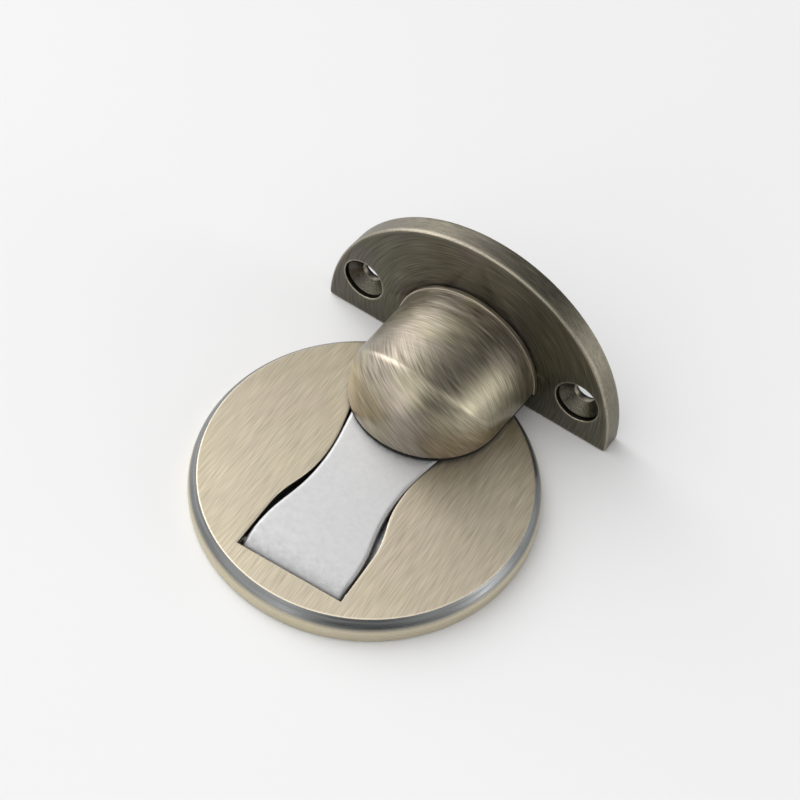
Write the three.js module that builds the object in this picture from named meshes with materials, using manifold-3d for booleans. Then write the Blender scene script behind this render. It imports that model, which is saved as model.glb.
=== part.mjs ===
// A floor door holder in two units. The floor unit is a round cover with an hourglass opening,
// in which a magnetic-steel flap hangs on a pin. The door unit is a D-shaped plate with a
// rounded head that carries a magnet in its flat underside.
// Millimetres, +Z up. The origin is the centre of the floor unit's adhesive face, on the floor.
// +Y runs from the flap's hinge towards the door.

import * as THREE from 'three';
import { mergeVertices } from 'three/addons/utils/BufferGeometryUtils.js';
import Module from 'manifold-3d';

const wasm = await Module();
wasm.setup();

// Gaps
const restGap = 0.1;          // between stacked flat pieces of the floor unit
const cutGap = 0.2;           // between pieces of the turned door unit
const runClearance = 0.1;     // radial, pin in its eye and slot

// Floor unit, from the floor up
const coverRadius = 35.2;
const coverTopRadius = 33.3;
const coverTop = 5.3;
const coverFoot = 0.2;        // the cover stands this far off the floor
const coverWallTop = 1.7;     // end of the upright part of the side
const topChamfer = 0.3;
const pocketRadius = 32.4;
const padRadius = 32;
const padThickness = 0.8;
const basePlateRadius = 32.2;
const basePlateThickness = 1;

// Flap and its opening: half widths, and the places along Y where they apply
const flapTop = 5.2;
const flapThickness = 1.6;
const flapTip = 24.8;
const flapHalfWidth = 11.15;
const flapWaist = 8.75;
const flapWaistY = -3.5;
const flapShoulderY = -22.5;
const openingHalfWidth = 11.6;
const openingWaist = 9;
const openingWaistY = -1.5;
const openingShoulderY = -17.5;
const openingHingeEnd = -27.75;
const tipShoulderY = 14.5;
const tipGap = 0.6;
const openingCorner = 2.2;
const flapCorner = 1.8;
const flapHingeEnd = -28.55;    // beyond the eye, where the flap ends
const waistReach = 0.45;        // how far the curve runs straight on, as a share of its length
const waistReachBack = 0.495;
const waistReachFront = 6.5;
const tipReach = [0.7, 6];      // inwards and back from the tip's shoulder
const outlinePoints = 10;       // points along each curve of the two outlines
const pinY = -25.25;
const pinZ = 2.95;
const pinRadius = 0.9;
const pinHalfLength = 14.4;
const eyeRadius = 2.3;
const eyeFloor = 2.1;         // the eye is cut flat here, above the base plate
const rollStart = -22;        // the flap's top curves down from here to the hinge end
const restPadRadius = 2.5;
const restPadPlace = [6, 18];  // and its mirror image
const hingeWindow = [0.3, 0.6];  // room in the base plate behind and before the eye

// Screws: [thread radius, head radius, head height, length below the head]
const coverScrewSize = [1, 1.9, 0.9, 2.5];
const headScrewSize = [2, 3.8, 1.8, 8.4];
const magnetScrewSize = [1.5, 2.9, 1.4, 6.2];
const coverScrewPlaces = [[20, 16], [-20, 16], [-20, -16], [20, -16]];
const screwClearance = 0.25;
const crossRecess = { reach: 0.55, halfSlot: 0.14, depth: 0.6 };  // shares of head radius and height

// Door unit, measured from the centre of the head's round underside
const headCentre = [0.6, 22.55];
const doorTurn = THREE.MathUtils.degToRad(-4.2);
const headRim = 6;            // height of the underside, which is also the head's axis
const headRadius = 17;        // at the plate
const noseRadius = 16.75;     // above the head's centre: the head narrows a little towards the nose
const noseLength = 16;
const noseHeight = 20.2;      // height that the nose's dome would reach above the rim
const collarRadius = 17.45;
const collarThickness = 1;
const plateMiddle = -0.5;     // the head sits this far off the plate's middle
const plateFront = 14.65;
const plateThickness = 5.1;
const plateRadius = 35.6;
const plateCorner = 0.8;
const plateChamfer = 0.35;
const doorPadRadius = 33;
const doorPadCorner = 1;
const doorPadThickness = 0.8;
const doorPadProud = 0.2;
const doorPadFoot = 2.5;
const screwHoleX = 26.85;    // from the plate's middle
const screwHoleZ = 10;
const counterboreRadius = 4.95;
const counterboreDepth = 1;
const coneRadius = 4.65;
const coneDepth = 2.3;
const screwHoleRadius = 2.4;
const padHoleClearance = 0.6;
const headScrewX = 7;
const headScrewZ = 17;

// Magnet in the head
const magnetPocketRadius = 13.2;
const magnetPocketTop = 13.6;
const cupRadius = 12.6;
const cupHeight = 6;
const cupWall = 1.8;
const cupRoof = 2;
const magnetRadius = 9.6;
const magnetHeight = 3.6;
const magnetClearance = 0.15;  // radial, inside the sleeve
const sleeveRadius = 10.6;
const strikePadThickness = 0.35;
const strikePadInset = 0.1;   // inside the head's outline

const fine = 96;              // facets round the large visible pieces
const medium = 48;            // facets round the other large pieces
const coarse = 24;            // facets round the small ones
const far = 60;               // longer than any piece, for cutting tools

const metal = (color, roughness) => new THREE.MeshStandardMaterial({ color, roughness, metalness: 1 });
const soft = (color) => new THREE.MeshStandardMaterial({ color, roughness: 0.9, metalness: 0 });
const antiqueBronze = metal(0x8d8069, 0.35);
const satinSteel = metal(0xc9cacb, 0.4);
const zincSteel = metal(0xa9adb0, 0.35);
const nickel = metal(0xb9b6ac, 0.2);
const blackFoam = soft(0x26272a);
const clearSilicone = soft(0xd8d8d4);
const blackRubber = soft(0x1d1d1e);
const whiteNylon = soft(0xe6e4dc);

// Turns a closed three.js geometry into a solid for joining and cutting.
function solid(geometry) {
  const bare = geometry.clone();
  bare.deleteAttribute('normal');
  bare.deleteAttribute('uv');
  const merged = mergeVertices(bare, 1e-4);
  const index = merged.index.array;
  const kept = [];
  for (let i = 0; i < index.length; i += 3) {
    const [a, b, c] = [index[i], index[i + 1], index[i + 2]];
    if (a !== b && b !== c && c !== a) kept.push(a, b, c);
  }
  const vertProperties = new Float32Array(merged.attributes.position.array);
  return new wasm.Manifold(new wasm.Mesh({ numProp: 3, vertProperties, triVerts: new Uint32Array(kept) }));
}

function geometryOf(body) {
  const { vertProperties, triVerts } = body.getMesh();
  const geometry = new THREE.BufferGeometry();
  geometry.setAttribute('position', new THREE.BufferAttribute(vertProperties, 3));
  geometry.setIndex(new THREE.BufferAttribute(triVerts, 1));
  geometry.computeVertexNormals();
  return geometry;
}

function addPiece(parent, name, body, material) {
  const mesh = new THREE.Mesh(geometryOf(body), material);
  mesh.name = name;
  parent.add(mesh);
}

// A solid of revolution about Z from a closed profile of [radius, height] points.
function turned(profile, facets = coarse) {
  const points = [...profile, profile[0]].map(([r, z]) => new THREE.Vector2(r, z));
  return solid(new THREE.LatheGeometry(points, facets).rotateX(Math.PI / 2));
}

const disc = (radius, low, high, facets = coarse) =>
  turned([[0, low], [radius, low], [radius, high], [0, high]], facets);

const ring = (inner, outer, low, high, facets = coarse) =>
  turned([[inner, low], [outer, low], [outer, high], [inner, high]], facets);

// A block given by its low and high corners.
function block(low, high) {
  const size = high.map((value, axis) => value - low[axis]);
  const middle = high.map((value, axis) => (value + low[axis]) / 2);
  return solid(new THREE.BoxGeometry(...size).translate(...middle));
}

const extruded = (shape, low, high, curveSegments = 24) =>
  solid(new THREE.ExtrudeGeometry(shape, { depth: high - low, bevelEnabled: false, curveSegments })
    .translate(0, 0, low));

// Lays a solid made along Z so that it runs along +Y, with its own +Y pointing down.
const alongY = (body) => body.rotate([-90, 0, 0]);

// Lays a solid made along Z so that it runs along +X.
const alongX = (body) => body.rotate([0, 90, 0]);

// A countersunk screw whose flat head faces -Z at z = 0, with a cross recess.
function screw([threadRadius, topRadius, headHeight, length]) {
  const body = turned([[0, 0], [topRadius, 0], [threadRadius, headHeight],
    [threadRadius, headHeight + length], [0, headHeight + length]]);
  const arm = topRadius * crossRecess.reach;
  const slot = topRadius * crossRecess.halfSlot;
  const deep = headHeight * crossRecess.depth;
  return body
    .subtract(block([-arm, -slot, -1], [arm, slot, deep]))
    .subtract(block([-slot, -arm, -1], [slot, arm, deep]));
}

// The clearance hole for a screw placed the same way, with its countersink.
function screwHole([threadRadius, topRadius, headHeight, length]) {
  const c = screwClearance;
  return turned([[0, -1], [topRadius + c, -1], [topRadius + c, 0], [threadRadius + c, headHeight],
    [threadRadius + c, headHeight + length + c], [0, headHeight + length + c]]);
}

// The hourglass outline, symmetrical in X, from a straight hinge end to a rounded tip.
function hourglass({ end, wide, shoulder, waist, waistY, tip, corner }) {
  const length = waistY - shoulder;
  const [tipIn, tipBack] = tipReach;
  const side = new THREE.Path();
  side.moveTo(wide, end);
  side.lineTo(wide, shoulder);
  side.bezierCurveTo(wide, shoulder + length * waistReach, waist, waistY - length * waistReachBack,
    waist, waistY);
  side.bezierCurveTo(waist, waistY + waistReachFront, wide - tipIn, tipShoulderY - tipBack,
    wide, tipShoulderY);
  side.lineTo(wide, tip - corner);
  side.quadraticCurveTo(wide, tip, wide - corner, tip);
  const right = side.getPoints(outlinePoints);
  const left = right.map((point) => new THREE.Vector2(-point.x, point.y)).reverse();
  return new THREE.Shape([...right, ...left]);
}

// ---- Floor unit ----

const basePlateLow = padThickness + restGap;
const basePlateHigh = basePlateLow + basePlateThickness;
const coverCeiling = basePlateHigh + restGap;

function coverProfile() {
  // The side rises upright, then leans in on an arc that meets the top's chamfer.
  const arcEnd = new THREE.Vector2(coverTopRadius + topChamfer, coverTop - topChamfer);
  const inward = coverRadius - arcEnd.x;
  const rise = arcEnd.y - coverWallTop;
  const arcRadius = (inward ** 2 + rise ** 2) / (2 * inward);
  const sweep = Math.asin(rise / arcRadius);
  const side = new THREE.Path();
  side.absarc(coverRadius - arcRadius, coverWallTop, arcRadius, 0, sweep, false);
  return [[0, coverCeiling], [pocketRadius, coverCeiling], [pocketRadius, coverFoot],
    [coverRadius - topChamfer, coverFoot], [coverRadius, coverFoot + topChamfer],
    ...side.getPoints(6).map(({ x, y }) => [x, y]), [coverTopRadius, coverTop], [0, coverTop]];
}

function floorCover() {
  const opening = extruded(hourglass({ end: openingHingeEnd, wide: openingHalfWidth,
    shoulder: openingShoulderY, waist: openingWaist, waistY: openingWaistY,
    tip: flapTip + tipGap, corner: openingCorner }), 0, far);
  const slotRadius = pinRadius + runClearance;
  const slotEnd = pinHalfLength + cutGap;
  let body = turned(coverProfile(), fine).subtract(opening);
  body = body.subtract(alongX(disc(slotRadius, -slotEnd, slotEnd)).translate([0, pinY, pinZ]));
  body = body.subtract(block([-slotEnd, pinY - slotRadius, 0], [slotEnd, pinY + slotRadius, pinZ]));
  for (const [x, y] of coverScrewPlaces) {
    body = body.subtract(screwHole(coverScrewSize).translate([x, y, basePlateLow]));
  }
  return body;
}

function basePlate() {
  // The window under the hinge lets the flap's eye turn.
  let body = disc(basePlateRadius, basePlateLow, basePlateHigh, medium)
    .subtract(block([-openingHalfWidth, pinY - eyeRadius - hingeWindow[0], 0],
      [openingHalfWidth, pinY + eyeRadius + hingeWindow[1], far]));
  for (const [x, y] of coverScrewPlaces) {
    body = body.subtract(screwHole(coverScrewSize).translate([x, y, basePlateLow]));
  }
  return body;
}

// The flap's side view, in Y and Z: a plate that rolls down over an eye at its hinge end.
function flapSideView() {
  const side = new THREE.Shape();
  const low = flapTop - flapThickness;
  const eyeFoot = Math.asin((pinZ - eyeFloor) / eyeRadius);
  side.moveTo(flapTip, low);
  side.lineTo(flapTip, flapTop);
  const rollLength = rollStart - (pinY - eyeRadius);
  side.absellipse(rollStart, pinZ, rollLength, flapTop - pinZ, Math.PI / 2, Math.PI, false);
  side.absarc(pinY, pinZ, eyeRadius, Math.PI, Math.PI + eyeFoot, false);
  side.lineTo(pinY + eyeRadius * Math.cos(eyeFoot), eyeFloor);
  side.lineTo(pinY + eyeRadius, low);
  return side;
}

function catchFlap() {
  const plan = extruded(hourglass({ end: flapHingeEnd, wide: flapHalfWidth,
    shoulder: flapShoulderY, waist: flapWaist, waistY: flapWaistY,
    tip: flapTip, corner: flapCorner }), 0, far);
  // The side view is drawn in X and Y, so it is turned until those are Y and Z.
  const side = extruded(flapSideView(), -far / 2, far / 2, 20).rotate([90, 0, 90]);
  const eye = alongX(disc(pinRadius + runClearance, -far, far)).translate([0, pinY, pinZ]);
  return plan.intersect(side).subtract(eye);
}

function floorUnit() {
  const unit = new THREE.Group();
  addPiece(unit, 'adhesive_pad', disc(padRadius, 0, padThickness, medium), blackFoam);
  addPiece(unit, 'base_plate', basePlate(), zincSteel);
  addPiece(unit, 'floor_cover', floorCover(), antiqueBronze);
  coverScrewPlaces.forEach(([x, y], i) => {
    const body = screw(coverScrewSize).translate([x, y, basePlateLow]);
    addPiece(unit, `cover_screw_${i + 1}`, body, zincSteel);
  });
  const pin = alongX(disc(pinRadius, -pinHalfLength, pinHalfLength)).translate([0, pinY, pinZ]);
  addPiece(unit, 'hinge_pin', pin, zincSteel);
  const restPad = disc(restPadRadius, basePlateHigh + restGap, flapTop - flapThickness - restGap);
  const [padX, padY] = restPadPlace;
  addPiece(unit, 'rest_pad_left', restPad.translate([-padX, padY, 0]), clearSilicone);
  addPiece(unit, 'rest_pad_right', restPad.translate([padX, padY, 0]), clearSilicone);
  addPiece(unit, 'catch_flap', catchFlap(), satinSteel);
  return unit;
}

// ---- Door unit, in its own frame: the head's centre is on Z, the door is towards +Y ----

const plateBack = plateFront + plateThickness;
const doorPadRoom = doorPadThickness - doorPadProud;

// A half disc standing on its straight edge, with its two corners cut off, drawn in X and Z.
function halfDisc(radius, foot, corner) {
  const shape = new THREE.Shape();
  const start = Math.asin((foot + corner) / radius);
  const footX = Math.sqrt(radius ** 2 - foot ** 2);
  shape.moveTo(-footX + corner, foot);
  shape.lineTo(footX - corner, foot);
  shape.absarc(0, 0, radius, start, Math.PI - start, false);
  return shape;
}

// Extrudes a shape drawn in X and Z between two places along Y.
const standing = (shape, front, back, bevel = 0) => {
  const settings = { depth: back - front - 2 * bevel, bevelEnabled: bevel > 0, bevelSize: bevel,
    bevelThickness: bevel, bevelOffset: -bevel, bevelSegments: 1, curveSegments: medium };
  const geometry = new THREE.ExtrudeGeometry(shape, settings);
  return solid(geometry.rotateX(Math.PI / 2).translate(0, back - bevel, 0));
};

// The tool that cuts one of the two holes for the door screws: counterbore, cone and through hole.
function doorScrewTool() {
  const cone = counterboreDepth + coneDepth;
  return alongY(turned([[0, -1], [counterboreRadius, -1], [counterboreRadius, counterboreDepth],
    [coneRadius, counterboreDepth], [screwHoleRadius, cone], [screwHoleRadius, far], [0, far]], medium));
}

// Places a solid that faces -Z so that it faces +Y, at a point on the plate's back.
const fromBehind = (body, x, z) => body.rotate([90, 0, 0]).translate([x, plateBack - doorPadRoom, z]);

function doorPlate() {
  let body = standing(halfDisc(plateRadius, 0, plateCorner), plateFront, plateBack, plateChamfer);
  const padRoom = standing(halfDisc(doorPadRadius + cutGap, doorPadFoot - cutGap, doorPadCorner),
    plateBack - doorPadRoom - cutGap, far);
  body = body.subtract(padRoom);
  for (const side of [-1, 1]) {
    body = body.subtract(doorScrewTool().translate([side * screwHoleX, plateFront, screwHoleZ]));
  }
  body = body.translate([plateMiddle, 0, 0]);
  for (const side of [-1, 1]) {
    body = body.subtract(fromBehind(screwHole(headScrewSize), side * headScrewX, headScrewZ));
  }
  return body;
}

function doorPad() {
  let body = standing(halfDisc(doorPadRadius, doorPadFoot, doorPadCorner), plateBack - doorPadRoom,
    plateBack + doorPadProud);
  const hole = alongY(disc(screwHoleRadius + padHoleClearance, 0, far));
  for (const side of [-1, 1]) {
    body = body.subtract(hole.translate([side * screwHoleX, 0, screwHoleZ]));
  }
  return body.translate([plateMiddle, 0, 0]);
}

// The stack in the pocket: cup against the roof, magnet in the cup, screw up through both.
const magnetRoof = magnetPocketTop - cutGap;
const magnetTop = magnetRoof - cupRoof - cutGap;
const magnetLow = magnetTop - magnetHeight;
const magnetScrewLow = magnetLow + cutGap;
const magnetScrewTool = () => screwHole(magnetScrewSize).translate([0, 0, magnetScrewLow]);

// The head is a tunnel that narrows from the plate, cut by a dome in front of its centre.
function headForm(back) {
  const slope = (headRadius - noseRadius) / back;
  const front = -noseLength - 1;
  const tunnel = alongY(turned([[0, front], [noseRadius + slope * front, front],
    [headRadius, back], [0, back]], fine));
  const dome = solid(new THREE.SphereGeometry(1, medium, medium)
    .scale(noseRadius, noseLength, noseHeight));
  const behindNose = block([-far, 0, -far], [far, far, far]);
  const collar = alongY(disc(collarRadius, back - collarThickness, back, fine));
  return tunnel.intersect(dome.add(behindNose)).add(collar).translate([0, 0, headRim]);
}

function headShell() {
  const magnetPocket = disc(magnetPocketRadius, 0, magnetPocketTop, medium);
  let body = headForm(plateFront - cutGap)
    .subtract(block([-far, -far, -far], [far, far, headRim]))
    .subtract(magnetPocket)
    .subtract(magnetScrewTool());
  for (const side of [-1, 1]) {
    body = body.subtract(fromBehind(screwHole(headScrewSize), side * headScrewX, headScrewZ));
  }
  return body;
}

// A thin flat face under the head, with the head's own outline, that closes the magnet's pocket.
function strikePad() {
  const back = plateFront - collarThickness - 2 * cutGap;
  const slice = block([-far, -far, headRim], [far, back, headRim + strikePadThickness]);
  const shrink = 1 - strikePadInset / noseRadius;
  return headForm(plateFront - cutGap)
    .intersect(slice)
    .scale([shrink, shrink, 1])
    .translate([0, 0, -strikePadThickness - cutGap]);
}

function addMagnet(unit) {
  const mouth = magnetRoof - cupHeight;
  const ceiling = magnetRoof - cupRoof;
  const cupInner = cupRadius - cupWall;
  const cup = turned([[0, magnetRoof], [0, ceiling], [cupInner, ceiling], [cupInner, mouth],
    [cupRadius, mouth], [cupRadius, magnetRoof]], medium);
  const sleeve = ring(magnetRadius + magnetClearance, sleeveRadius, magnetLow, magnetTop, medium);
  const magnet = disc(magnetRadius, magnetLow, magnetTop, medium);
  addPiece(unit, 'magnet_cup', cup.subtract(magnetScrewTool()), zincSteel);
  addPiece(unit, 'magnet_sleeve', sleeve, whiteNylon);
  addPiece(unit, 'magnet', magnet.subtract(magnetScrewTool()), nickel);
  addPiece(unit, 'magnet_screw', screw(magnetScrewSize).translate([0, 0, magnetScrewLow]), zincSteel);
  addPiece(unit, 'strike_pad', strikePad(), blackRubber);
}

function doorUnit() {
  const unit = new THREE.Group();
  addPiece(unit, 'door_plate', doorPlate(), antiqueBronze);
  addPiece(unit, 'door_pad', doorPad(), blackFoam);
  addPiece(unit, 'head_shell', headShell(), antiqueBronze);
  addPiece(unit, 'head_screw_left', fromBehind(screw(headScrewSize), -headScrewX, headScrewZ), zincSteel);
  addPiece(unit, 'head_screw_right', fromBehind(screw(headScrewSize), headScrewX, headScrewZ), zincSteel);
  addMagnet(unit);
  unit.position.set(...headCentre, 0);
  unit.rotation.z = doorTurn;
  return unit;
}

const group = new THREE.Group();
group.add(floorUnit());
group.add(doorUnit());
export default group;
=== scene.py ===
import math

import bmesh
import bpy
from mathutils import Matrix, Vector


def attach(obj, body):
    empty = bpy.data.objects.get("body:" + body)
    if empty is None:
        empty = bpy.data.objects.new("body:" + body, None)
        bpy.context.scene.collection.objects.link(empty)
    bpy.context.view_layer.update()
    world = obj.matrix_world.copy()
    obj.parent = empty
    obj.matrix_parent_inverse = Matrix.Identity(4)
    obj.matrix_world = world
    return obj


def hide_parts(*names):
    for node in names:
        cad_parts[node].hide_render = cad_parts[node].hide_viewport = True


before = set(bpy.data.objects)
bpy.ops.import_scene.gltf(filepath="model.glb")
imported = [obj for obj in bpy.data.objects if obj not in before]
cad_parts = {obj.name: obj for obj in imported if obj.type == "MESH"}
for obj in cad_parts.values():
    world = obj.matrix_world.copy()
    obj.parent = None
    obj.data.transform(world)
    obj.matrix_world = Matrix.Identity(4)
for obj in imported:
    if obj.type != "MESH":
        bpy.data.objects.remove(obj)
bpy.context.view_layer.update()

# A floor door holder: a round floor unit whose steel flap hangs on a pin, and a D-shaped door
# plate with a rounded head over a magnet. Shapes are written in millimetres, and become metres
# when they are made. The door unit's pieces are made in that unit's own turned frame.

MM = 0.001

# Floor unit
COVER_TOP = 5.3
COVER_TOP_RADIUS = 33.3
COVER_RADIUS = 35.2
COVER_WALL_TOP = 1.7
COVER_FOOT = 0.2
COVER_CEILING = 2.0
POCKET_RADIUS = 32.4
TOP_CHAMFER = 0.3
OPENING = dict(end=-27.75, wide=11.6, shoulder=-17.5, waist=9.0, waist_y=-1.5, tip=25.4, corner=2.2)
FLAP = dict(end=-28.55, wide=11.15, shoulder=-22.5, waist=8.75, waist_y=-3.5, tip=24.8, corner=1.8)
TIP_SHOULDER = 14.5
FLAP_TOP = 5.2
FLAP_LOW = 3.6
PIN_Y = -25.25
PIN_Z = 2.95
PIN_RADIUS = 0.9
PIN_GAP = 0.1
PIN_HALF_LENGTH = 14.4
EYE_RADIUS = 2.3
EYE_FLOOR = 2.1
ROLL_START = -22.0
COVER_SCREWS = [(20, 16), (-20, 16), (-20, -16), (20, -16)]

# Door unit
HEAD_PLACE = (0.6, 22.55, 0.0)
DOOR_TURN = math.radians(-4.2)
RIM = 6.0
# The head's lowest 0.5 mm is painted black as shade under the head, fading over 0.1 mm.
RIM_PAINTED_SHADE = 0.5
RIM_FADE = 0.1
HEAD_RADIUS = 17.0
NOSE_RADIUS = 16.75
NOSE_LENGTH = 16.0
NOSE_HEIGHT = 20.2
COLLAR_RADIUS = 17.45
HEAD_BACK = 14.45
POCKET = dict(radius=13.2, top=13.6)
PLATE_MIDDLE = -0.5
PLATE_FRONT = 14.65
PLATE_BACK = 19.75
PLATE_RADIUS = 35.6
PLATE_CHAMFER = 0.35
PAD_ROOM_RADIUS = 33.2
PAD_ROOM_FOOT = 2.3
PAD_ROOM_DEPTH = 0.8
HOLE_X = 26.85
HOLE_Z = 10.0

PIN_PLACE = Matrix.Translation((0, PIN_Y * MM, PIN_Z * MM)) @ Matrix.Rotation(math.pi / 2, 4, "Y")
DOOR_PLACE = Matrix.Translation(Vector(HEAD_PLACE) * MM) @ Matrix.Rotation(DOOR_TURN, 4, "Z")


# ---- Mesh tools ----

def loop(bm, points, wear_and_painted_light=0.0):
    """Makes a ring of vertices, marked with how far its metal is worn bright with a painted highlight,
    or below 0, darkened with painted shade.
    """
    layer = bm.verts.layers.float.get("wear_and_painted_light") or bm.verts.layers.float.new("wear_and_painted_light")
    ring = [bm.verts.new(Vector(p) * MM) for p in points]
    for vertex in ring:
        vertex[layer] = wear_and_painted_light
    return ring


def skin(bm, rings, closed=True):
    """Joins rings of equal length with quads, one after another."""
    for a, b in zip(rings, rings[1:]):
        count = len(a)
        for i in range(count if closed else count - 1):
            j = (i + 1) % count
            corners = [a[i], a[j], b[j], b[i]]
            if len(set(corners)) == 4:
                bm.faces.new(corners)


def fill(bm, *rings):
    """Fills the flat region between closed rings."""
    edges = []
    for ring in rings:
        for a, b in zip(ring, ring[1:] + ring[:1]):
            edges.append(bm.edges.get((a, b)) or bm.edges.new((a, b)))
    bmesh.ops.triangle_fill(bm, use_beauty=True, use_dissolve=False, edges=edges)


def as_object(name, bm, sharp=35.0):
    bmesh.ops.remove_doubles(bm, verts=bm.verts, dist=1e-8)
    bmesh.ops.recalc_face_normals(bm, faces=bm.faces)
    mesh = bpy.data.meshes.new(name)
    bm.to_mesh(mesh)
    bm.free()
    mesh.shade_smooth()
    mesh.set_sharp_from_angle(angle=math.radians(sharp))
    made = bpy.data.objects.new(name, mesh)
    bpy.context.scene.collection.objects.link(made)
    return made


def cut(body, tools):
    """Takes the tools' shapes out of a body, and removes the tools."""
    for tool in tools:
        modifier = body.modifiers.new("cut", "BOOLEAN")
        modifier.operation = "DIFFERENCE"
        modifier.solver = "EXACT"
        modifier.object = tool
    bpy.context.view_layer.update()
    evaluated = body.evaluated_get(bpy.context.evaluated_depsgraph_get())
    shape = bpy.data.meshes.new_from_object(evaluated)
    body.modifiers.clear()
    body.data = shape
    shape.name = body.name
    for tool in tools:
        bpy.data.objects.remove(tool)


def circle(radius, height, count=256, centre=(0.0, 0.0)):
    """A ring of points about Z."""
    turn = 2 * math.pi / count
    return [(centre[0] + radius * math.cos(i * turn), centre[1] + radius * math.sin(i * turn), height)
            for i in range(count)]


def turned_tool(name, profile, place, count=48):
    """A closed solid of revolution about Z from [radius, height] points, put in place."""
    bm = bmesh.new()
    rings = [loop(bm, circle(r, z, count)) for r, z in profile]
    skin(bm, rings)
    fill(bm, rings[0])
    fill(bm, rings[-1])
    tool = as_object(name, bm)
    tool.matrix_world = place
    return tool


def bezier(a, b, c, d, count):
    points = []
    for i in range(1, count + 1):
        t = i / count
        weights = ((1 - t) ** 3, 3 * t * (1 - t) ** 2, 3 * t * t * (1 - t), t ** 3)
        points.append(tuple(sum(w * p[k] for w, p in zip(weights, (a, b, c, d))) for k in (0, 1)))
    return points


def hourglass_side(end, wide, shoulder, waist, waist_y, tip, corner, count=28):
    """The right-hand side of the flap's or opening's outline, from the hinge end to the tip."""
    bend = (waist_y - shoulder) * 0.45
    side = [(wide, end), (wide, shoulder)]
    side += bezier((wide, shoulder), (wide, shoulder + bend), (waist, waist_y - bend * 1.1),
                   (waist, waist_y), count)
    side += bezier((waist, waist_y), (waist, waist_y + 6.5), (wide - 0.7, TIP_SHOULDER - 6),
                   (wide, TIP_SHOULDER), count)
    arc = math.pi / 2 / 8
    side += [(wide - corner + corner * math.cos(i * arc), tip - corner + corner * math.sin(i * arc))
             for i in range(9)]
    return side


def offset(outline, distance):
    """Moves a closed outline outwards, mitred at its corners. The outline runs anticlockwise."""
    grown = []
    count = len(outline)
    for i, (x, y) in enumerate(outline):
        before = Vector(outline[i]) - Vector(outline[i - 1])
        after = Vector(outline[(i + 1) % count]) - Vector(outline[i])
        a = Vector((before.y, -before.x)).normalized()
        b = Vector((after.y, -after.x)).normalized()
        miter = (a + b) / max(1 + a.dot(b), 0.2)
        grown.append((x + miter.x * distance, y + miter.y * distance))
    return grown


# ---- Floor unit ----

def make_cover():
    bm = bmesh.new()
    top_edge = COVER_TOP - TOP_CHAMFER
    lean = COVER_RADIUS - (COVER_TOP_RADIUS + TOP_CHAMFER)
    rise = top_edge - COVER_WALL_TOP
    arc_radius = (lean ** 2 + rise ** 2) / (2 * lean)
    sweep = math.asin(rise / arc_radius)
    arc = []
    for i in range(13):
        angle = sweep * (1 - i / 12)
        arc.append((COVER_RADIUS - arc_radius * (1 - math.cos(angle)),
                    COVER_WALL_TOP + arc_radius * math.sin(angle), 0.0))
    # The top edge's marks paint it pale, as wear and as a painted highlight.
    profile = [(COVER_TOP_RADIUS - 0.4, COVER_TOP, 0.0), (COVER_TOP_RADIUS - 0.25, COVER_TOP, 0.1),
               (COVER_TOP_RADIUS - 0.12, COVER_TOP, 0.8),
               (COVER_TOP_RADIUS + 0.03, COVER_TOP - 0.04, 0.9),
               (COVER_TOP_RADIUS + 0.09, COVER_TOP - 0.10, 0.0),
               (COVER_TOP_RADIUS + TOP_CHAMFER - 0.05, top_edge + 0.06, 0.0),
               (COVER_TOP_RADIUS + TOP_CHAMFER + 0.01, top_edge - 0.03, 0.0)]
    profile += arc[1:]
    profile += [(COVER_RADIUS, 0.8, 0.0), (COVER_RADIUS, 0.5, 0.2), (COVER_RADIUS - 0.09, 0.29, 0.5),
                (COVER_RADIUS - TOP_CHAMFER, COVER_FOOT, 0.3), (POCKET_RADIUS, COVER_FOOT, 0.0),
                (POCKET_RADIUS, COVER_CEILING, 0.0)]
    rings = [loop(bm, circle(r, z, 320), wear_and_painted_light) for r, z, wear_and_painted_light in profile]
    skin(bm, rings)

    side = hourglass_side(**OPENING)
    outline = side + [(-x, y) for x, y in reversed(side)]
    walls = []
    # The opening's upper edge is painted pale as wear and highlight. Its walls below are painted black
    # as shade.
    for grow, z, wear_and_painted_light in [(0.7, COVER_TOP, 0.0), (0.28, COVER_TOP, 0.3), (0.1, COVER_TOP - 0.05, 1.0),
                          (0.02, COVER_TOP - 0.17, 0.5), (0.0, COVER_TOP - 0.35, -0.6),
                          (0.0, COVER_TOP - 0.6, -1.0), (0.0, COVER_CEILING, -1.0)]:
        walls.append(loop(bm, [(x, y, z) for x, y in offset(outline, grow)], wear_and_painted_light))
    skin(bm, walls)
    fill(bm, rings[0], walls[0])
    fill(bm, rings[-1], walls[-1])

    cover = as_object("cover_shell", bm, 30)
    slot = PIN_RADIUS + PIN_GAP
    end = PIN_HALF_LENGTH + 0.2
    tools = [turned_tool("pin_bore", [(slot, -end), (slot, end)], PIN_PLACE)]
    for x, y in COVER_SCREWS:
        tools.append(turned_tool("screw_bore", [(2.2, 0.5), (1.25, 1.8), (1.25, 4.6)],
                                 Matrix.Translation((x * MM, y * MM, 0)), 24))
    bm = bmesh.new()
    corners = [(-end, PIN_Y - slot), (end, PIN_Y - slot), (end, PIN_Y + slot), (-end, PIN_Y + slot)]
    walls = [loop(bm, [(x, y, z) for x, y in corners]) for z in (0.0, PIN_Z)]
    skin(bm, walls)
    fill(bm, walls[0])
    fill(bm, walls[1])
    tools.append(as_object("pin_slot", bm))
    cut(cover, tools)
    return cover


def flap_width(side, y):
    """Half the flap's width at a place along Y."""
    for (x0, y0), (x1, y1) in zip(side, side[1:]):
        if y0 <= y <= y1 and y1 > y0:
            return x0 + (x1 - x0) * (y - y0) / (y1 - y0)
    return side[-1][0]


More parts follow.
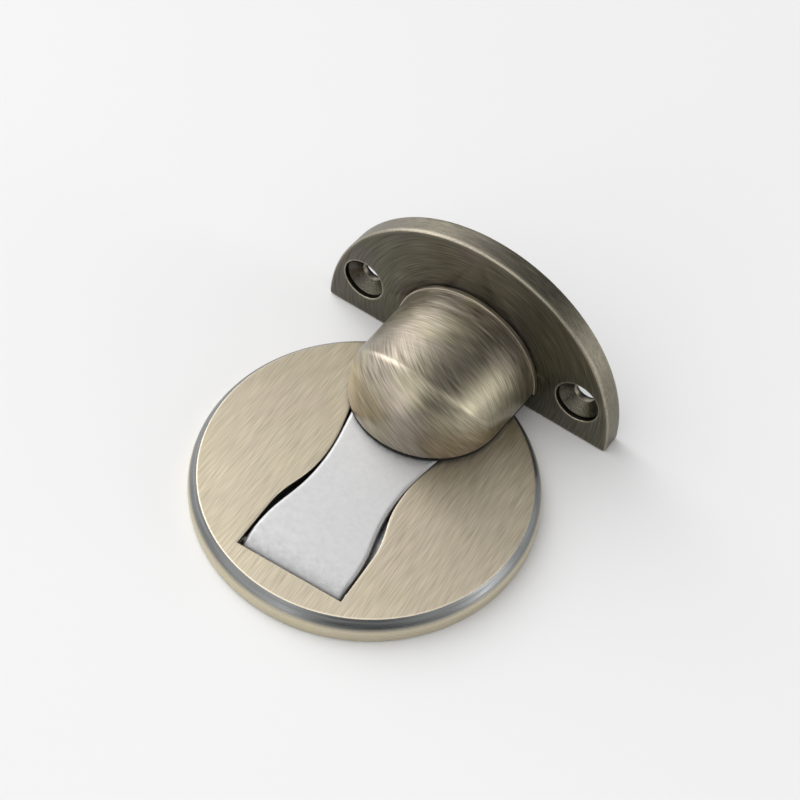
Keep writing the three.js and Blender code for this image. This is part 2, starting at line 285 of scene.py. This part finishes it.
def rounded_section(half, low, high, top_round, low_round, steps=6):
    """Half-widths and heights round one cross-section of the flap."""
    top = min(top_round, (high - low) / 2)
    bottom = min(low_round, (high - low) / 2)
    support = 0.35
    points = [(0.0, low), (half - bottom - support, low)]
    quarter = math.pi / 2 / steps
    turns = [(math.sin(i * quarter), math.cos(i * quarter)) for i in range(steps + 1)]
    points += [(half - bottom + bottom * s, low + bottom - bottom * c) for s, c in turns]
    points += [(half - top + top * c, high - top + top * s) for s, c in turns]
    points += [(half - top - support, high), (0.0, high)]
    mirrored = [(-x, z) for x, z in reversed(points[1:-1])]
    return points + mirrored


def make_flap():
    bm = bmesh.new()
    side = hourglass_side(**FLAP)
    tip = FLAP["tip"]
    stations = []
    roll = ROLL_START - (PIN_Y - EYE_RADIUS)
    for i in range(1, 25):
        angle = math.pi / 2 * i / 24
        y = ROLL_START - roll * math.cos(angle)
        high = PIN_Z + (FLAP_TOP - PIN_Z) * math.sin(angle)
        drop = math.sqrt(max(0.0, EYE_RADIUS ** 2 - (y - PIN_Y) ** 2))
        low = max(PIN_Z - drop, EYE_FLOOR) if y < PIN_Y + 2.14 else FLAP_LOW
        stations.append((y, low, high))
    first, last = ROLL_START + 0.4, tip - 1.8
    stations += [(first + (last - first) * i / 110, FLAP_LOW, FLAP_TOP) for i in range(111)]
    for i in range(1, 13):
        angle = math.pi / 2 * i / 12
        y = last + 1.8 * math.sin(angle)
        nip = max(0.0, y - (tip - 0.3)) / 0.3
        pull = 0.3 * (1 - math.sqrt(max(0.0, 1 - nip * nip)))
        stations.append((y, FLAP_LOW + pull, FLAP_TOP - pull))
    rings = []
    for y, low, high in stations:
        section = rounded_section(flap_width(side, y), low, high, 0.9, 0.3)
        rings.append(loop(bm, [(x, y, z) for x, z in section]))
    skin(bm, rings)
    fill(bm, rings[0])
    fill(bm, rings[-1])
    flap = as_object("flap_plate", bm, 40)
    bore = PIN_RADIUS + PIN_GAP
    cut(flap, [turned_tool("eye_bore", [(bore, -20), (bore, 20)], PIN_PLACE)])
    return flap


# ---- Door unit ----

def smooth_min(a, b, blend):
    gap = max(blend - abs(a - b), 0.0) / max(blend, 1e-6)
    return min(a, b) - gap * gap * blend / 4


def head_reach(angle, y):
    """How far the head's surface is from its axis, at an angle from straight up."""
    tunnel = NOSE_RADIUS + (HEAD_RADIUS - NOSE_RADIUS) * y / PLATE_FRONT
    if y >= 0:
        return tunnel
    across, along = math.sin(angle) / NOSE_RADIUS, math.cos(angle) / NOSE_HEIGHT
    dome = math.sqrt(max(0.0, 1 - (y / NOSE_LENGTH) ** 2) / (across ** 2 + along ** 2))
    return smooth_min(tunnel, dome, 0.6 * math.cos(angle) ** 2)


def make_head():
    bm = bmesh.new()
    collar = HEAD_BACK - 1.0
    # The collar's edge is painted pale as wear and highlight. The step under it and the back against the
    # plate are painted dark as shade.
    rows = [(HEAD_BACK, COLLAR_RADIUS, -0.2), (collar + 0.3, COLLAR_RADIUS, 0.0),
            (collar + 0.07, COLLAR_RADIUS - 0.05, 0.4), (collar, COLLAR_RADIUS - 0.2, 0.3),
            (collar - 0.03, HEAD_RADIUS + 0.03, -0.6), (collar - 0.12, None, -0.3)]
    rows += [(collar - 0.3 - (collar - 0.3) * i / 24, None, 0.0) for i in range(24)]
    rows += [(-NOSE_LENGTH * math.sin(math.pi / 2 * i / 150), None, 0.0) for i in range(150)]
    columns = 160
    edge_round = 0.15
    rings = []
    for y, fixed, wear_and_painted_light in rows:
        points = []
        for i in range(columns + 1):
            angle = math.pi * (i / columns - 0.5)
            reach = fixed or head_reach(angle, y)
            x, up = reach * math.sin(angle), reach * math.cos(angle)
            # The lower edge is rounded by drawing its last few tenths inwards.
            near = max(0.0, 1 - up / edge_round)
            pull = edge_round * (1 - math.sqrt(max(0.0, 1 - near * near)))
            flat = Vector((x / NOSE_RADIUS ** 2, min(y, 0.0) / NOSE_LENGTH ** 2))
            flat = flat.normalized() if flat.length > 1e-9 else Vector((0, -1))
            points.append((x - flat.x * pull, y - flat.y * pull, RIM + max(up, 0.0)))
        rings.append(loop(bm, points, wear_and_painted_light))
        # The lower edge is painted black too, as shade that widens the dark gap under the head.
        for vertex in rings[-1]:
            near = RIM_PAINTED_SHADE - (vertex.co.z / MM - RIM)
            if near > 0:
                vertex[bm.verts.layers.float["wear_and_painted_light"]] = -min(1.0, near / RIM_FADE)
    skin(bm, rings, closed=False)
    # The nose's lowest point is painted black as shade too.
    tip = loop(bm, [(0.0, -NOSE_LENGTH + edge_round, RIM)], -1.0)[0]
    for a, b in zip(rings[-1], rings[-1][1:]):
        bm.faces.new((a, b, tip))
    outer = [ring[0] for ring in rings] + [tip] + [ring[-1] for ring in reversed(rings)]
    pocket = [loop(bm, circle(POCKET["radius"] + grow, z, 128), wear_and_painted_light)
              for grow, z, wear_and_painted_light in ((0.25, RIM, 0.3), (0.05, RIM + 0.07, 0.8), (0.0, RIM + 0.25, 0.2),
                                    (0.0, POCKET["top"], 0.0))]
    skin(bm, pocket)
    fill(bm, outer, pocket[0])
    fill(bm, pocket[-1])
    fill(bm, rings[0])
    return as_object("head_casting", bm, 40)


def plate_outline(radius, foot, corner, count=180):
    """A half disc on a straight foot, its two lower corners rounded, drawn in X and Z."""
    reach = math.sqrt(radius ** 2 - (foot + corner) ** 2)
    start = math.asin((foot + corner) / radius)
    points = []
    for i in range(5):
        angle = -math.pi / 2 + math.pi / 2 * i / 4
        points.append((reach - corner + corner * math.cos(angle),
                       foot + corner + corner * math.sin(angle)))
    points += [(radius * math.cos(a), radius * math.sin(a))
               for a in (start + (math.pi - 2 * start) * i / count for i in range(1, count))]
    points += [(-x, z) for x, z in reversed(points[:5])]
    return [(x + PLATE_MIDDLE, z) for x, z in points]


def standing(bm, outline, y, wear_and_painted_light=0.0):
    return loop(bm, [(x, y, z) for x, z in outline], wear_and_painted_light)


def hole_ring(bm, x, radius, y, wear_and_painted_light=0.0, count=72):
    return loop(bm, [(px, y, pz) for px, pz, _ in circle(radius, 0, count, (x, HOLE_Z))], wear_and_painted_light)


def make_plate():
    bm = bmesh.new()
    chamfer = PLATE_CHAMFER
    outline = plate_outline(PLATE_RADIUS, 0.0, 0.8)
    # The chamfers at the front and back are painted pale, as wear and as a painted highlight.
    steps = [(-1.0, PLATE_FRONT, 0.0), (-chamfer - 0.08, PLATE_FRONT, 0.1),
             (-chamfer + 0.06, PLATE_FRONT + 0.04, 0.45), (-0.05, PLATE_FRONT + chamfer - 0.06, 0.45),
             (0.0, PLATE_FRONT + chamfer + 0.06, 0.25), (0.0, PLATE_FRONT + 1.0, 0.12),
             (0.0, PLATE_BACK - 1.0, 0.12), (0.0, PLATE_BACK - chamfer - 0.06, 0.2),
             (-0.05, PLATE_BACK - chamfer + 0.06, 0.45), (-chamfer + 0.06, PLATE_BACK - 0.04, 0.45),
             (-chamfer - 0.08, PLATE_BACK, 0.1), (-1.0, PLATE_BACK, 0.0)]
    rings = [standing(bm, offset(outline, grow), y, wear_and_painted_light) for grow, y, wear_and_painted_light in steps]
    skin(bm, rings)

    room = plate_outline(PAD_ROOM_RADIUS, PAD_ROOM_FOOT, 1.0)
    floor = PLATE_BACK - PAD_ROOM_DEPTH
    room_rings = [standing(bm, room, PLATE_BACK), standing(bm, room, floor)]
    skin(bm, room_rings)
    fill(bm, rings[-1], room_rings[0])

    front_holes, back_holes = [], []
    for side in (-1, 1):
        x = PLATE_MIDDLE + side * HOLE_X
        # The holes' edges are painted pale as wear and highlight. The counterbore walls are painted
        # black as shade.
        profile = [(5.45, 0.0, 0.0), (5.08, 0.0, 0.3), (5.0, 0.03, 1.0), (4.95, 0.12, 0.7),
                   (4.95, 0.2, -0.7), (4.95, 0.98, -1.0), (4.9, 1.0, -1.0), (4.7, 1.0, -0.8),
                   (4.58, 1.08, 0.0), (2.5, 3.2, 0.0), (2.4, 3.35, 0.5), (2.4, floor - PLATE_FRONT, 0.0)]
        hole = [hole_ring(bm, x, r, PLATE_FRONT + y, wear_and_painted_light) for r, y, wear_and_painted_light in profile]
        skin(bm, hole)
        front_holes.append(hole[0])
        back_holes.append(hole[-1])
    fill(bm, rings[0], *front_holes)
    fill(bm, room_rings[1], *back_holes)
    return as_object("plate_casting", bm, 30)


def door_screw_tools():
    """The two clearance holes for the screws that hold the head, from the plate's back."""
    tools = []
    lay = Matrix.Rotation(math.pi / 2, 4, "X")
    for x in (-7, 7):
        place = Matrix.Translation((x * MM, (PLATE_BACK - 0.6) * MM, 17 * MM)) @ lay
        profile = [(4.05, -0.5), (4.05, 0.0), (2.25, 1.8), (2.25, 10.45)]
        tools.append(turned_tool("head_screw_bore", profile, place, 32))
    return tools


# ---- Materials ----

# Brushing. Streaks are noise squeezed along their run, and the smaller the share the longer they are.
STREAK_SQUEEZE = 0.045
TURNED_SQUEEZE = 0.03
NOSE_BRUSH_AXIS = (0.445, 0.586, 0.678)
SLANT_STARTS = 1.0
SLANT_FULL = -6.0
STREAK_SPREAD = 0.22
BRUSH_DEPTH = 0.00006
PEBBLE_DEPTH = 0.00004

def new_material(name):
    """A node material, with its node tree and its shader."""
    made = bpy.data.materials.new(name)
    made.use_nodes = True
    return made, made.node_tree, made.node_tree.nodes["Principled BSDF"]


def node(tree, kind, inputs=None, **settings):
    made = tree.nodes.new(kind)
    for key, value in settings.items():
        setattr(made, key, value)
    for key, value in (inputs or {}).items():
        if isinstance(value, bpy.types.NodeSocket):
            tree.links.new(value, made.inputs[key])
        else:
            made.inputs[key].default_value = value
    return made


def maths(tree, operation, *values):
    made = node(tree, "ShaderNodeMath", dict(enumerate(values)), operation=operation)
    return made.outputs[0]


def stretch(tree, source, low, high, new_low, new_high):
    made = node(tree, "ShaderNodeMapRange", {"Value": source, "From Min": low, "From Max": high,
                                             "To Min": new_low, "To Max": new_high})
    return made.outputs["Result"]


def mix(tree, factor, a, b, blend="MIX"):
    made = tree.nodes.new("ShaderNodeMix")
    made.data_type = "RGBA"
    made.blend_type = blend
    for socket, value in ((made.inputs[0], factor), (made.inputs[6], a), (made.inputs[7], b)):
        if isinstance(value, bpy.types.NodeSocket):
            tree.links.new(value, socket)
        else:
            socket.default_value = value
    return made.outputs[2]


def noise(tree, vector, scale, detail=3.0, rough=0.55):
    made = node(tree, "ShaderNodeTexNoise", {"Vector": vector, "Scale": scale, "Detail": detail,
                                             "Roughness": rough})
    return made.outputs["Fac"]


def object_point(tree):
    return node(tree, "ShaderNodeTexCoord").outputs["Object"]


def scaled(tree, vector, scale):
    made = node(tree, "ShaderNodeVectorMath", {0: vector, 1: scale}, operation="MULTIPLY")
    return made.outputs[0]


def round_point(tree, point, rise):
    """The point as (distance round the door unit's Y axis, distance from the axis, Y)."""
    parts = node(tree, "ShaderNodeSeparateXYZ", {0: point})
    x, y = parts.outputs[0], parts.outputs[1]
    z = maths(tree, "SUBTRACT", parts.outputs[2], rise)
    radius = maths(tree, "SQRT", maths(tree, "ADD", maths(tree, "MULTIPLY", x, x),
                                       maths(tree, "MULTIPLY", z, z)))
    angle = maths(tree, "ARCTAN2", x, z)
    arc = maths(tree, "MULTIPLY", angle, HEAD_RADIUS * MM)
    return node(tree, "ShaderNodeCombineXYZ", {0: arc, 1: radius, 2: y}).outputs[0]


def dot(tree, a, b):
    return node(tree, "ShaderNodeVectorMath", {0: a, 1: b}, operation="DOT_PRODUCT").outputs["Value"]


def cross(tree, a, b):
    """The unit vector square to both."""
    made = node(tree, "ShaderNodeVectorMath", {0: a, 1: b}, operation="CROSS_PRODUCT")
    return node(tree, "ShaderNodeVectorMath", {0: made.outputs[0]}, operation="NORMALIZE").outputs[0]


def to_world(tree, vector):
    made = node(tree, "ShaderNodeVectorTransform", {0: vector}, vector_type="VECTOR",
                convert_from="OBJECT", convert_to="WORLD")
    return made.outputs[0]


def planar_point(tree, point, axis, run):
    """The point in a frame whose Z is the axis, squeezed by run along the other two."""
    across = Vector(axis).normalized()
    level = across.cross(Vector((0, 0, 1))).normalized()
    parts = []
    for direction in (level * run, across.cross(level) * run, across):
        parts.append(dot(tree, point, tuple(direction)))
    return node(tree, "ShaderNodeCombineXYZ", dict(enumerate(parts))).outputs[0]


def streak_set(tree, lines):
    """Fine, medium and broad streaks, long in every direction that lines has squeezed."""
    return [noise(tree, lines, 5600.0, 0.0), noise(tree, lines, 3400.0, 0.0),
            noise(tree, lines, 600.0, 2.0, 0.5)]


def brushing(tree, kind, point):
    """The streaks, and the direction across them, along which highlights spread."""
    normal = node(tree, "ShaderNodeNewGeometry").outputs["Normal"]
    x, y, z = node(tree, "ShaderNodeSeparateXYZ", {0: point}).outputs
    if kind == "along":
        streaks = streak_set(tree, scaled(tree, point, (1.0, STREAK_SQUEEZE, 1.0)))
        run = (0.0, 1.0, 0.0)
    elif kind == "about_z":
        streaks = streak_set(tree, scaled(tree, point, (TURNED_SQUEEZE, TURNED_SQUEEZE, 1.0)))
        turned = maths(tree, "MULTIPLY", x, -1.0)
        run = node(tree, "ShaderNodeCombineXYZ", {0: y, 1: turned, 2: 0.0}).outputs[0]
    else:
        rolled_out = round_point(tree, point, RIM * MM)
        streaks = streak_set(tree, scaled(tree, rolled_out, (STREAK_SQUEEZE, 1.0, 1.0)))
        run = node(tree, "ShaderNodeCombineXYZ", {0: maths(tree, "SUBTRACT", z, RIM * MM), 1: 0.0,
                                                  2: maths(tree, "MULTIPLY", x, -1.0)}).outputs[0]
    run = to_world(tree, run)
    if kind == "head":
        # The nose was brushed on a slant, the rest of the head round its axis.
        slanted = streak_set(tree, planar_point(tree, point, NOSE_BRUSH_AXIS, STREAK_SQUEEZE))
        share = stretch(tree, y, SLANT_STARTS * MM, SLANT_FULL * MM, 0.0, 1.0)
        streaks = [mix(tree, share, a, b) for a, b in zip(streaks, slanted)]
        slant = cross(tree, to_world(tree, NOSE_BRUSH_AXIS), normal)
        straight = node(tree, "ShaderNodeVectorMath", {0: run}, operation="NORMALIZE").outputs[0]
        run = mix(tree, share, straight, slant)
    return streaks, cross(tree, normal, run)


def brushed_metal(name, kind, dark, light, rough, contrast, anisotropic, relief, tinted=1.0,
                  reflection_band=None):
    """Brushed metal. kind is the brushing: along (Y), about_z, about_y, or head for the head's two.

    tinted is how much the hue wanders. The band of heights given last is where the colour fades to a
    painted dark reflection.
    """
    made, tree, shader = new_material(name)
    point = object_point(tree)
    (fine, bands, broad), tangent = brushing(tree, kind, point)
    cloud = noise(tree, point, 55.0, 3.0, 0.5)
    speck = noise(tree, point, 2600.0, 2.0, 0.6)
    hue = noise(tree, point, 90.0, 2.0, 0.5)

    spread = STREAK_SPREAD / contrast
    tone = maths(tree, "ADD", maths(tree, "MULTIPLY", fine, 0.62), maths(tree, "MULTIPLY", bands, 0.34))
    tone = maths(tree, "ADD", tone, maths(tree, "MULTIPLY", broad, 0.04))
    tone = stretch(tree, tone, 0.5 - spread, 0.5 + spread, 0.0, 1.0)
    colour = mix(tree, tone, dark, light)
    colour = mix(tree, stretch(tree, cloud, 0.35, 0.7, 0.0, 0.25), colour, dark)
    tint = mix(tree, stretch(tree, hue, 0.4, 0.6, 0.0, 1.0), OLIVE_TINT, PLUM_TINT)
    colour = mix(tree, tinted, colour, tint, "MULTIPLY")
    # Above the band's foot the colour fades to dark grey, a painted dark reflection on the polished
    # side.
    if reflection_band:
        height = node(tree, "ShaderNodeSeparateXYZ", {0: point}).outputs[2]
        share = stretch(tree, height, reflection_band[0] * MM, reflection_band[1] * MM, 0.0, 1.0)
        colour = mix(tree, share, colour, PAINTED_DARK_REFLECTION)
    # Marked edges turn pale, as wear and as a painted highlight; below 0 the colour turns black as
    # painted shade.
    wear_and_painted_light = node(tree, "ShaderNodeAttribute", attribute_name="wear_and_painted_light").outputs["Fac"]
    bright = maths(tree, "MULTIPLY", wear_and_painted_light, stretch(tree, speck, 0.3, 0.6, 0.55, 1.0))
    colour = mix(tree, stretch(tree, bright, 0.0, 1.0, 0.0, 1.0), colour, WORN_AND_HIGHLIGHT)
    colour = mix(tree, stretch(tree, wear_and_painted_light, 0.0, -1.0, 0.0, 1.0), colour, PAINTED_SHADE)
    tree.links.new(colour, shader.inputs["Base Color"])
    roughness = stretch(tree, fine, 0.3, 0.7, rough - 0.05, rough + 0.06)
    tree.links.new(roughness, shader.inputs["Roughness"])
    shader.inputs["Metallic"].default_value = 1.0
    shader.inputs["Anisotropic"].default_value = anisotropic
    tree.links.new(tangent, shader.inputs["Tangent"])
    height = maths(tree, "ADD", fine, maths(tree, "MULTIPLY", bands, 0.2))
    bump = node(tree, "ShaderNodeBump", {"Height": height, "Strength": relief, "Distance": BRUSH_DEPTH})
    tree.links.new(bump.outputs[0], shader.inputs["Normal"])
    return made


def plated_steel(name, colour, rough, dulling=0.72, pebble_scale=1500.0, pebble=0.1, roll_shade_and_pebbles=False):
    """Plated or blasted steel with faint mottling and a pebbled surface.

    dulling is how dark the mottling's dull spots are, as a share of the colour. The roll switch given
    last darkens the steel with painted shade and roughens its pebbles towards the flap's hinge end.
    """
    made, tree, shader = new_material(name)
    point = object_point(tree)
    mottle = noise(tree, point, 420.0, 4.0)
    dull = tuple(c * dulling for c in colour[:3]) + (1.0,)
    metal = mix(tree, stretch(tree, mottle, 0.35, 0.65, 0.0, 1.0), dull, colour)
    strength = pebble
    # Painted shade: the steel darkens over the roll towards the hinge end.
    if roll_shade_and_pebbles:
        y = node(tree, "ShaderNodeSeparateXYZ", {0: point}).outputs[1]
        share = stretch(tree, y, (ROLL_START + 0.5) * MM, (PIN_Y - EYE_RADIUS) * MM, 0.0, 1.0)
        metal = mix(tree, share, metal, PAINTED_ROLL_SHADE)
        strength = stretch(tree, share, 0.0, 0.5, pebble, 1.0)
    tree.links.new(metal, shader.inputs["Base Color"])
    tree.links.new(stretch(tree, noise(tree, point, 900.0), 0.3, 0.7, rough - 0.05, rough + 0.12),
                   shader.inputs["Roughness"])
    shader.inputs["Metallic"].default_value = 1.0
    pebbles = noise(tree, point, pebble_scale)
    bump = node(tree, "ShaderNodeBump", {"Height": pebbles, "Strength": strength,
                                         "Distance": PEBBLE_DEPTH})
    tree.links.new(bump.outputs[0], shader.inputs["Normal"])
    return made


def soft_stuff(name, dark, light, rough, scale, bump_height, clear=0.0):
    """Foam, rubber, nylon or silicone: a fine cell or mould texture."""
    made, tree, shader = new_material(name)
    point = object_point(tree)
    cells = node(tree, "ShaderNodeTexVoronoi", {"Vector": point, "Scale": scale}).outputs["Distance"]
    grain = noise(tree, point, scale * 0.6, 4.0)
    tree.links.new(mix(tree, stretch(tree, grain, 0.3, 0.7, 0.0, 1.0), dark, light),
                   shader.inputs["Base Color"])
    tree.links.new(stretch(tree, cells, 0.0, 0.8, rough - 0.08, rough + 0.08),
                   shader.inputs["Roughness"])
    shader.inputs["Transmission Weight"].default_value = clear
    bump = node(tree, "ShaderNodeBump", {"Height": maths(tree, "ADD", cells, grain), "Strength": 0.5,
                                         "Distance": bump_height})
    tree.links.new(bump.outputs[0], shader.inputs["Normal"])
    return made


OLIVE_TINT = (1.00, 1.01, 0.93, 1.0)
PLUM_TINT = (1.00, 0.98, 1.02, 1.0)
# Near black, painted as shade in recesses and gaps and under the head.
PAINTED_SHADE = (0.016, 0.014, 0.011, 1.0)
# Pale edge colour: wear and a painted highlight together.
WORN_AND_HIGHLIGHT = (0.700, 0.630, 0.500, 1.0)
# The floor unit's top and side, the head and the plate are one antique bronze. Their tones are lit and
# shaded copies of it, painted light and shade: the top and side lighter, the plate darker.
MID_DARK = (0.190, 0.166, 0.128, 1.0)
MID_LIGHT = (0.520, 0.468, 0.372, 1.0)
SHADED_PLATE_DARK = (0.070, 0.064, 0.051, 1.0)
SHADED_PLATE_LIGHT = (0.190, 0.176, 0.142, 1.0)
LIT_TOP_DARK = (0.370, 0.325, 0.246, 1.0)
LIT_TOP_LIGHT = (0.680, 0.605, 0.468, 1.0)
LIT_SIDE_DARK = (0.520, 0.465, 0.340, 1.0)
LIT_SIDE_LIGHT = (0.660, 0.600, 0.450, 1.0)
# Grey for the painted dark reflection on the upper part of the floor unit's side.
PAINTED_DARK_REFLECTION = (0.190, 0.195, 0.195, 1.0)
# Darker steel, painted as shade on the flap's roll.
PAINTED_ROLL_SHADE = (0.390, 0.390, 0.393, 1.0)

# Lit and shaded copies of the same bronze, one for each part; the side also gets a painted dark
# reflection between 3.0 and 3.9 mm.
bronze_top = brushed_metal("bronze_top", "along", LIT_TOP_DARK, LIT_TOP_LIGHT, 0.45, contrast=0.75,
                           anisotropic=0.8, relief=0.15, tinted=0.3)
bronze_side = brushed_metal("bronze_side", "about_z", LIT_SIDE_DARK, LIT_SIDE_LIGHT, 0.30, contrast=0.4,
                            anisotropic=0.5, relief=0.08, tinted=0.5, reflection_band=(3.0, 3.9))
bronze_head = brushed_metal("bronze_head", "head", MID_DARK, MID_LIGHT, 0.35, contrast=0.8,
                            anisotropic=0.5, relief=0.25)
bronze_plate = brushed_metal("bronze_plate", "about_y", SHADED_PLATE_DARK, SHADED_PLATE_LIGHT, 0.42, contrast=1.0,
                             anisotropic=0.6, relief=0.3)
satin = plated_steel("satin_steel", (0.590, 0.590, 0.593, 1.0), 0.55, dulling=0.985,
                     pebble_scale=2400.0, pebble=0.4, roll_shade_and_pebbles=True)
zinc = plated_steel("zinc_plating", (0.62, 0.64, 0.66, 1.0), 0.3)
nickel = plated_steel("nickel_plating", (0.66, 0.63, 0.57, 1.0), 0.16)
foam = soft_stuff("black_foam", (0.008, 0.008, 0.009, 1.0), (0.03, 0.03, 0.032, 1.0), 0.85,
                  2600.0, 0.0002)
rubber = soft_stuff("black_rubber", (0.004, 0.004, 0.004, 1.0), (0.009, 0.009, 0.009, 1.0), 0.8,
                    4000.0, 0.00005)
silicone = soft_stuff("clear_silicone", (0.7, 0.7, 0.68, 1.0), (0.8, 0.8, 0.78, 1.0), 0.3,
                      1500.0, 0.00003, clear=0.6)
nylon = soft_stuff("white_nylon", (0.62, 0.60, 0.56, 1.0), (0.74, 0.72, 0.68, 1.0), 0.45,
                   2000.0, 0.00004)


# ---- Putting the pieces in place ----

def finish_piece(piece, body, slot, replaces, *materials):
    piece.data.materials.clear()
    for entry in materials:
        piece.data.materials.append(entry)
    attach(piece, body)
    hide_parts(replaces)
    return piece


cover = finish_piece(make_cover(), "floor_unit", "antique_bronze", "floor_cover",
                     bronze_top, bronze_side)
for face in cover.data.polygons:
    reach = math.hypot(face.center.x, face.center.y)
    face.material_index = 1 if reach > (COVER_TOP_RADIUS + 0.05) * MM else 0
finish_piece(make_flap(), "flap", "satin_steel", "catch_flap", satin)

head = make_head()
cut(head, door_screw_tools())
head.matrix_world = DOOR_PLACE
finish_piece(head, "door_unit", "antique_bronze", "head_shell", bronze_head)
plate = make_plate()
cut(plate, door_screw_tools())
plate.matrix_world = DOOR_PLACE
finish_piece(plate, "door_unit", "antique_bronze", "door_plate", bronze_plate)

FINISHES = {
    "adhesive_pad": foam, "door_pad": foam, "strike_pad": rubber, "magnet_sleeve": nylon,
    "rest_pad_left": silicone, "rest_pad_right": silicone, "magnet": nickel, "magnet_cup": zinc,
    "base_plate": zinc, "hinge_pin": zinc, "magnet_screw": zinc, "head_screw_left": zinc,
    "head_screw_right": zinc, "cover_screw_1": zinc, "cover_screw_2": zinc, "cover_screw_3": zinc,
    "cover_screw_4": zinc,
}
for name, finish in FINISHES.items():
    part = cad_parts[name]
    part.data.materials.clear()
    part.data.materials.append(finish)
    weld = part.modifiers.new("weld", "WELD")
    weld.merge_threshold = 0.001 * MM
    bevel = part.modifiers.new("edges", "BEVEL")
    bevel.width = 0.08 * MM
    bevel.segments = 2
    bevel.limit_method = "ANGLE"
    bevel.angle_limit = math.radians(35)


# ---- Stage, light and camera ----

def make_stage():
    bm = bmesh.new()
    ring = loop(bm, circle(3000, 0, 64))
    fill(bm, ring)
    floor = as_object("stage_floor", bm)
    made, tree, shader = new_material("stage_white")
    tint = noise(tree, object_point(tree), 3.0)
    tree.links.new(mix(tree, tint, (0.74, 0.74, 0.74, 1.0), (0.77, 0.77, 0.77, 1.0)),
                   shader.inputs["Base Color"])
    shader.inputs["Roughness"].default_value = 0.6
    floor.data.materials.append(made)


# Soft lights round the object: azimuth, elevation, tightness and strength. Azimuth 0 is in
# front, at -Y, and 90 at +X.
SOFT_LIGHTS = [
    (-110, 7, 30, 1.40), (-75, 7, 30, 0.50), (-40, 7, 30, 1.50), (-10, 7, 30, 2.40),
    (100, 7, 30, 4.30), (135, 7, 30, 1.60), (-135, 27, 25, 0.73), (-105, 27, 25, 4.20),
    (-78, 27, 25, 1.80), (-45, 27, 25, 0.60), (-10, 27, 25, 0.60), (70, 27, 25, 1.10),
    (105, 27, 25, 0.90), (-110, 50, 12, 2.33), (-70, 50, 12, 0.65), (-30, 50, 12, 0.80),
    (15, 50, 12, 0.80), (60, 50, 12, 0.30), (-120, 78, 10, 0.35), (120, 78, 10, 0.38),
]
DARK_LEVEL = 0.02


def make_world():
    world = bpy.data.worlds.new("studio")
    bpy.context.scene.world = world
    world.use_nodes = True
    tree = world.node_tree
    direction = node(tree, "ShaderNodeTexCoord").outputs["Generated"]
    level = DARK_LEVEL
    for azimuth, elevation, tightness, strength in SOFT_LIGHTS:
        a, e = math.radians(azimuth), math.radians(elevation)
        centre = (math.sin(a) * math.cos(e), -math.cos(a) * math.cos(e), math.sin(e))
        short = maths(tree, "SUBTRACT", dot(tree, direction, centre), 1.0)
        fall = maths(tree, "EXPONENT", maths(tree, "MULTIPLY", short, float(tightness)))
        level = maths(tree, "ADD", level, maths(tree, "MULTIPLY", fall, strength))
    tree.links.new(level, tree.nodes["Background"].inputs["Color"])


make_stage()
make_world()

# The camera looks from the front right and above, rolled a little.
VIEW_AZIMUTH, VIEW_ELEVATION, VIEW_ROLL = 25.64, 51.46, 6.91
VIEW_DISTANCE = 279.5
FOCAL_PIXELS = 1397.8
IMAGE_SIZE = 800
AIM = (365.62, 485.56)
SENSOR = 36.0


def make_camera():
    a, e, roll = (math.radians(v) for v in (VIEW_AZIMUTH, VIEW_ELEVATION, VIEW_ROLL))
    back = Vector((math.sin(a) * math.cos(e), -math.cos(a) * math.cos(e), math.sin(e)))
    level = Vector((math.cos(a), math.sin(a), 0.0))
    steep = back.cross(level)
    right = level * math.cos(roll) + steep * math.sin(roll)
    up = -level * math.sin(roll) + steep * math.cos(roll)
    per_pixel = VIEW_DISTANCE / FOCAL_PIXELS
    place = (back * VIEW_DISTANCE - right * (AIM[0] - IMAGE_SIZE / 2) * per_pixel
             + up * (AIM[1] - IMAGE_SIZE / 2) * per_pixel)
    lens = bpy.data.cameras.new("camera")
    lens.sensor_width = SENSOR
    lens.lens = FOCAL_PIXELS / IMAGE_SIZE * SENSOR
    lens.clip_start = 0.01
    lens.clip_end = 50.0
    camera = bpy.data.objects.new("camera", lens)
    bpy.context.scene.collection.objects.link(camera)
    turn = Matrix((right, up, back)).transposed().to_4x4()
    camera.matrix_world = Matrix.Translation(place * MM) @ turn
    bpy.context.scene.camera = camera


make_camera()
bpy.context.scene.view_settings.view_transform = "Standard"
